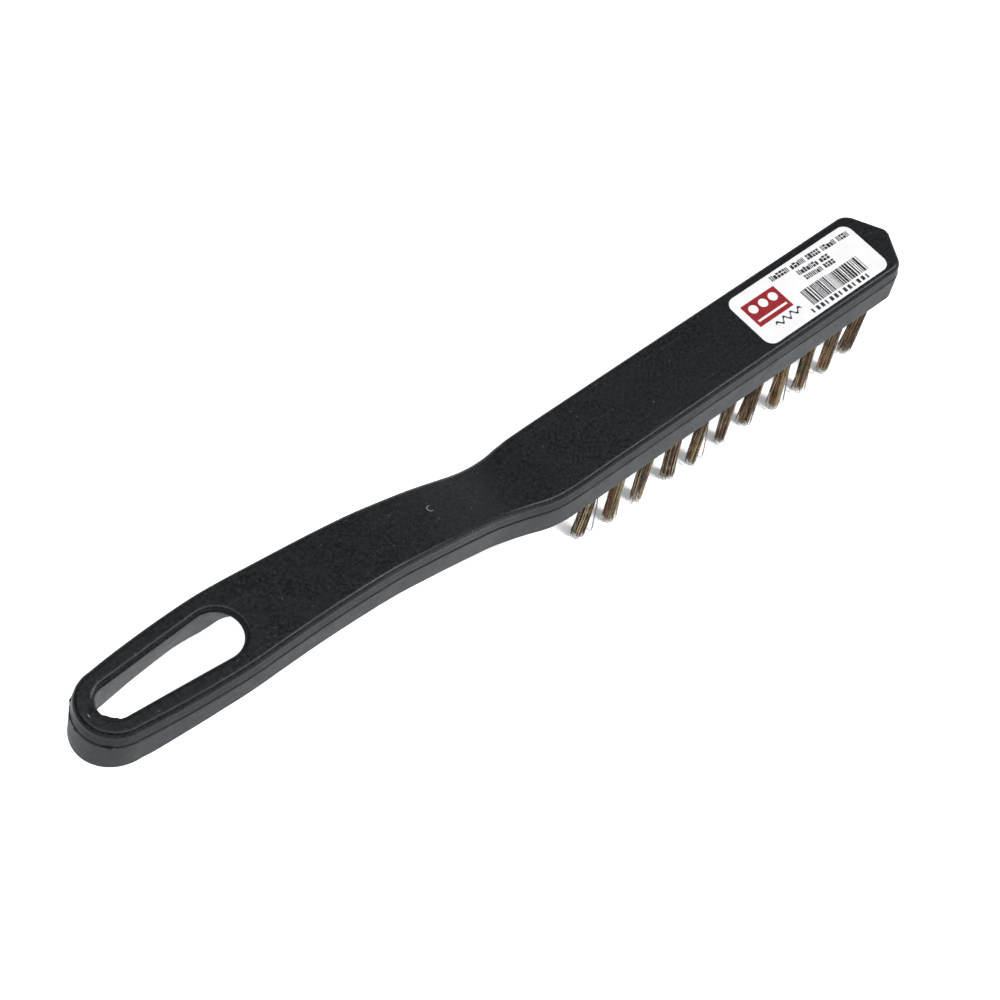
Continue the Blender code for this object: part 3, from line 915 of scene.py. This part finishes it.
add_piece("paper_label", label_mesh(), PAPER, "paper_label", "label")
add_print("label_print_red", RED_INK, red_shapes())
black, worn_black = black_shapes()
add_print("label_print_black", BLACK_INK, black)
add_print("label_print_worn", GREY_INK, worn_black)


# ---------------------------------------------------------------- tufts
# How far each near tuft's tips sit from straight below its hole, (x, y)
NEAR_LEAN = (
    (-0.1, 1.1), (-0.2, -0.4), (-0.2, 0.3), (0.9, 0.2), (-0.4, -0.4), (0.5, 0.0),
    (-0.2, 0.3), (0.3, -0.8), (-0.1, -0.5), (-0.2, -0.2), (-0.2, 0.7),
)
# Strays: (row, tuft number, leg place, tip offset from the tuft's own tip, bow, shade)
STRAYS = (
    ("near", 1, (1.6, -0.6), (4.1, -1.5), (0.9, 0.1), 0.95),
    ("near", 5, (-1.6, -0.5), (-2.6, 0.2), (0.0, 0.0), 0.90),
    ("near", 5, (1.7, -0.4), (3.3, -1.1), (0.4, 0.0), 0.30),
    ("near", 8, (-1.6, -0.3), (-2.7, 0.3), (0.0, 0.0), 0.35),
    ("near", 8, (1.5, -0.8), (2.8, -1.2), (0.1, 0.0), 0.10),
    ("near", 9, (-1.6, -0.4), (-2.9, 0.1), (-0.2, 0.0), 0.88),
    ("near", 10, (-1.6, -0.4), (-3.2, 0.3), (0.0, 0.0), 0.33),
    ("near", 11, (-1.7, -0.2), (-3.1, 0.5), (0.0, 0.0), 0.60),
    ("far", 3, (1.5, 0.6), (3.0, 1.6), (0.4, 0.3), 0.90),
    ("far", 7, (-1.5, 0.6), (-2.6, 1.9), (0.0, 0.3), 0.40),
    ("far", 10, (1.2, 0.9), (1.9, 2.9), (0.0, 0.5), 0.20),
)


def leg_places(rng):
    """Wire places in the +Y half of a tuft, (x, y) from its axis."""
    places = []
    shift = rng.uniform(-0.08, 0.08)
    for line in range(4):
        y = 0.27 + line * WIRE_PITCH * 0.87
        for i in range(-4, 5):
            x = (i + 0.5 * (line % 2)) * WIRE_PITCH + shift
            if hypot(x, y) < 1.80:
                places.append((x + rng.uniform(-0.05, 0.05), y + rng.uniform(-0.05, 0.05)))
    return places


class WireBundle:
    """Gathers round wires with closed ends, and their shader attributes."""

    def __init__(self):
        self.verts, self.faces, self.shades, self.tips = [], [], [], []

    def add(self, path, radius, shade_pick):
        start, count = len(self.verts), len(path)
        run = [0.0]
        for here, there in zip(path, path[1:]):
            run.append(run[-1] + (there - here).length)
        side = None
        for i, point in enumerate(path):
            ahead = (path[min(i + 1, count - 1)] - path[max(i - 1, 0)]).normalized()
            if side is None:
                side = ahead.cross(Vector((0.31, 0.95, 0.05))).normalized()
            side = (side - ahead * side.dot(ahead)).normalized()
            up = ahead.cross(side)
            to_end = min(run[i], run[-1] - run[i])
            for across, rise in circle(WIRE_SIDES):
                self.verts.append((point + side * radius * across + up * radius * rise) * MM)
                self.shades.append(shade_pick)
                self.tips.append(max(0.0, 1.0 - to_end / 0.5))
        last = start + (count - 1) * WIRE_SIDES
        for low in range(start, last, WIRE_SIDES):
            self.faces += band(low, low + WIRE_SIDES, WIRE_SIDES)
        self.faces.append([start + k for k in range(WIRE_SIDES)][::-1])
        self.faces.append([last + k for k in range(WIRE_SIDES)])

    def mesh(self, name):
        mesh = list_mesh(name, self.verts, self.faces)
        for attribute, values in (("wire", self.shades), ("tip", self.tips)):
            layer = mesh.attributes.new(attribute, "FLOAT", "POINT")
            layer.data.foreach_set("value", values)
        return shade(mesh, sharp=70)


def tuft_mesh(name, row, index, base_x, base_y):
    rng = random.Random(f"{row}{index}")
    bundle = WireBundle()

    def jitter(size):
        return rng.uniform(-size, size)

    lean = NEAR_LEAN[index - 1] if row == "near" else (jitter(0.5), jitter(0.6))
    swirl = jitter(0.25)
    turn_x, turn_y = cos(swirl), sin(swirl)
    right = leg_places(rng)
    left = [(x, -y) for x, y in leg_places(rng)]
    rng.shuffle(left)
    for places in (left, right):
        places.sort(key=lambda spot: round(spot[0] * 2))
    clumps = [(jitter(1.4), jitter(1.4)) for _ in range(5)]

    def at(x, y, z):
        return Vector((base_x + x, base_y + y, z))

    def clumped_tip(x, y):
        """Tip of a leg, swirled, leant and drawn to the nearest clump."""
        pull = min(clumps, key=lambda spot: (spot[0] - x) ** 2 + (spot[1] - y) ** 2)
        tip_x = (x * turn_x - y * turn_y) * 1.03
        tip_y = (x * turn_y + y * turn_x) * 1.03
        tip_x += (pull[0] - tip_x) * 0.26 + jitter(0.16) + lean[0]
        tip_y += (pull[1] - tip_y) * 0.26 + jitter(0.16) + lean[1]
        if rng.random() < 0.16:
            tip_x += jitter(0.75)
            tip_y += jitter(0.75)
        return tip_x, tip_y

    def leg(spot, tip_z, tip=None, bow=(0.0, 0.0)):
        """Points from the hole mouth down to the cut end."""
        tip = tip or clumped_tip(*spot)
        wave = (jitter(0.07), jitter(0.07))
        mouth_z = LAND - 0.3
        points = []
        for k in range(9):
            t = k / 8
            ease = t * t * (1.6 - 0.6 * t)
            x, y = (
                spot[axis] * 0.98 + (tip[axis] - spot[axis] * 0.98) * ease
                + wave[axis] * sin(pi * 2 * t) + bow[axis] * sin(pi * t)
                for axis in (0, 1)
            )
            points.append(at(x, y, mouth_z + (tip_z - mouth_z) * t))
        return points

    for number, (a, b) in enumerate(zip(left, right)):
        # alternate wires fold wider and taller
        reach = 0.30 + 0.42 * (number % 2)
        tall = FOLD_Z + 0.18 + 0.34 * (number % 2)
        middle_x = (a[0] + b[0]) / 2 * 0.9
        foot, shoulder = 0.25 + reach, 0.20 + reach * 0.7
        fold = [at(middle_x, y, z) for y, z in (
            (-foot, FOLD_Z - 0.6), (-shoulder, tall - 0.12), (0.0, tall + 0.06),
            (shoulder, tall - 0.12), (foot, FOLD_Z - 0.6),
        )]
        inner_left = at(a[0] * 0.95, min(a[1], -0.50), LAND + 2.5)
        inner_right = at(b[0] * 0.95, max(b[1], 0.50), LAND + 2.5)
        end_a, end_b = (max(0.0, rng.gauss(0.42, 0.40)) for _ in range(2))
        path = leg(a, end_a)[::-1] + [inner_left] + fold + [inner_right] + leg(b, end_b)
        bundle.add(path, WIRE_R, rng.random())
    for stray_row, stray_index, spot, tip, bow, pick in STRAYS:
        if (stray_row, stray_index) == (row, index):
            root = at(spot[0] * 0.9, spot[1] * 0.9, LAND + 2.5)
            tip_z = rng.uniform(0.2, 0.9)
            tip = (lean[0] + tip[0], lean[1] + tip[1])
            bundle.add([root] + leg(spot, tip_z, tip, bow), WIRE_R * 0.9, pick)
    return bundle.mesh(name)


def anchor_mesh(name, center):
    """Flat plate with bevelled edges."""
    bm = bmesh.new()
    for vert in bmesh.ops.create_cube(bm, size=1.0)["verts"]:
        vert.co = Vector((vert.co[k] * ANCHOR[k] + center[k] for k in range(3))) * MM
    bmesh.ops.bevel(
        bm, geom=bm.edges[:], offset=0.09 * MM, segments=2, affect="EDGES", profile=0.5
    )
    return shade(to_mesh(bm, name), sharp=40)


for row, row_y in ROWS:
    for i, tuft_x in enumerate(TUFT_X, 1):
        tag = f"{row}_{i:02d}"
        wires = tuft_mesh(f"wires_{tag}", row, i, tuft_x, row_y)
        add_piece(f"wires_{tag}", wires, WIRE, "brass_coated_wire", f"tuft_{tag}")
        plate = anchor_mesh(f"anchor_plate_{tag}", (tuft_x, row_y, ANCHOR_Z))
        # the middle anchors replace no CAD piece
        replaced = [f"anchor_{tag}"] if row != "middle" else []
        add_piece(f"anchor_plate_{tag}", plate, STEEL, "anchor_steel", *replaced)


# ---------------------------------------------------------------- stage
scene = bpy.context.scene


def sweep_material():
    """Pale floor that glows to the camera, less so under the tips, and is
    clear when seen from below."""
    n = new_material("pale_sweep")
    n.set(
        Base_Color=(0.84, 0.86, 0.89), Roughness=0.9, Specular_IOR_Level=0.1,
        Emission_Color=(1.0, 1.0, 1.0),
    )
    camera_ray = n.add("ShaderNodeLightPath").outputs["Is Camera Ray"]
    spot = n.xyz(n.coord.outputs["Object"])
    under = n.times(
        n.times(
            n.ramp(spot["X"], over=(0.010, 0.024)),
            n.ramp(spot["X"], over=(0.128, 0.142), to=(1.0, 0.0)),
        ),
        n.times(
            n.ramp(spot["Y"], over=(-0.024, -0.012)),
            n.ramp(spot["Y"], over=(-0.005, 0.005), to=(1.0, 0.0)),
        ),
    )
    full_glow, dimming = 0.86, 0.56
    glow = n.math("SUBTRACT", full_glow, n.times(under, dimming))
    n.set(Emission_Strength=n.times(camera_ray, glow))

    backfacing = n.add("ShaderNodeNewGeometry").outputs["Backfacing"]
    blend = n.add("ShaderNodeMixShader")
    n.link(n.times(backfacing, camera_ray), blend.inputs[0])
    n.link(n.shader.outputs[0], blend.inputs[1])
    n.link(n.add("ShaderNodeBsdfTransparent").outputs[0], blend.inputs[2])
    n.link(blend.outputs[0], n.tree.nodes["Material Output"].inputs["Surface"])
    return n.owner


def add_floor():
    corners = [(-6, -6, 0), (6, -6, 0), (6, 6, 0), (-6, 6, 0)]
    mesh = list_mesh("floor", corners, [(0, 1, 2, 3)])
    floor = bpy.data.objects.new("floor", mesh)
    floor.location = (0, 0, -0.00002)
    scene.collection.objects.link(floor)
    mesh.materials.append(sweep_material())


def add_world():
    """Reflections see a dark room with a low pale wall toward +X and +Y;
    diffuse rays see an even grey, and the camera sees white."""
    scene.world = bpy.data.worlds.new("studio")
    n = Nodes(scene.world, shader="Background")
    rays = n.add("ShaderNodeLightPath").outputs
    facing = n.xyz(n.coord.outputs["Generated"])
    wall_x, wall_y = 0.77, 0.64  # direction of the wall's middle
    toward = n.math("ADD", n.times(facing["X"], wall_x), n.times(facing["Y"], wall_y))
    pale = n.times(
        n.ramp(facing["Z"], over=(0.08, 0.56), to=(1.0, 0.0)),
        n.ramp(toward, over=(-0.36, 0.02)),
    )
    room = n.mix(pale, base=(0.055, 0.055, 0.058), to=(0.50, 0.505, 0.52))
    colour = n.mix(rays["Is Diffuse Ray"], room, to=(0.25, 0.252, 0.26))
    colour = n.mix(rays["Is Camera Ray"], colour, to=(1.0, 1.0, 1.0))
    n.set(Color=colour, Strength=1.0)


def add_light(name, kind, location, energy, **settings):
    data = bpy.data.lights.new(name, kind)
    data.energy = energy
    for key, value in settings.items():
        setattr(data, key, value)
    light = bpy.data.objects.new(name, data)
    light.location = location
    scene.collection.objects.link(light)
    return light


def aim(obj, target):
    obj.rotation_mode = "QUATERNION"
    obj.rotation_quaternion = (Vector(target) - obj.location).to_track_quat("-Z", "Y")


def facing_matrix(location, right, up, back):
    return Matrix.Translation(location) @ Matrix((right, up, back)).transposed().to_4x4()


def add_lights():
    sun = add_light("key", "SUN", (0.14, -0.45, 1.0), energy=3.05, angle=radians(14))
    aim(sun, (0, 0, 0))
    sun.visible_glossy = False

    # the two panels show in reflections only
    overhead = add_light(
        "overhead", "AREA", (0.80, -0.25, 1.12), energy=8.6,
        shape="RECTANGLE", size=0.34, size_y=0.95,
    )
    aim(overhead, (0, 0, 0.04))
    overhead.visible_diffuse = False

    strip_at = Vector((0.03, 0.12, 1.30))
    strip = add_light(
        "strip", "AREA", strip_at, energy=4.7, shape="RECTANGLE", size=0.95, size_y=0.26
    )
    back = strip_at.normalized()
    along = Vector((-0.54, 0.84, 0.0))
    along = (along - back * along.dot(back)).normalized()
    strip.matrix_world = facing_matrix(strip_at, along, back.cross(along), back)
    strip.visible_diffuse = False


def add_camera():
    data = bpy.data.cameras.new("camera")
    data.sensor_width = 36.0
    data.lens = 90.32
    data.clip_start, data.clip_end = 0.01, 50.0
    camera = bpy.data.objects.new("camera", data)
    camera.matrix_world = facing_matrix(
        location=(-0.29277, -0.22567, 0.56935),
        right=(0.7427313, -0.6588659, 0.1193561),
        up=(0.5030111, 0.6666764, 0.5500203),
        back=(-0.4419615, -0.3484799, 0.8265783),
    )
    scene.collection.objects.link(camera)
    scene.camera = camera


add_floor()
add_world()
add_lights()
add_camera()
scene.view_settings.view_transform = "Standard"
scene.view_settings.look = "None"

bpy.context.view_layer.update()
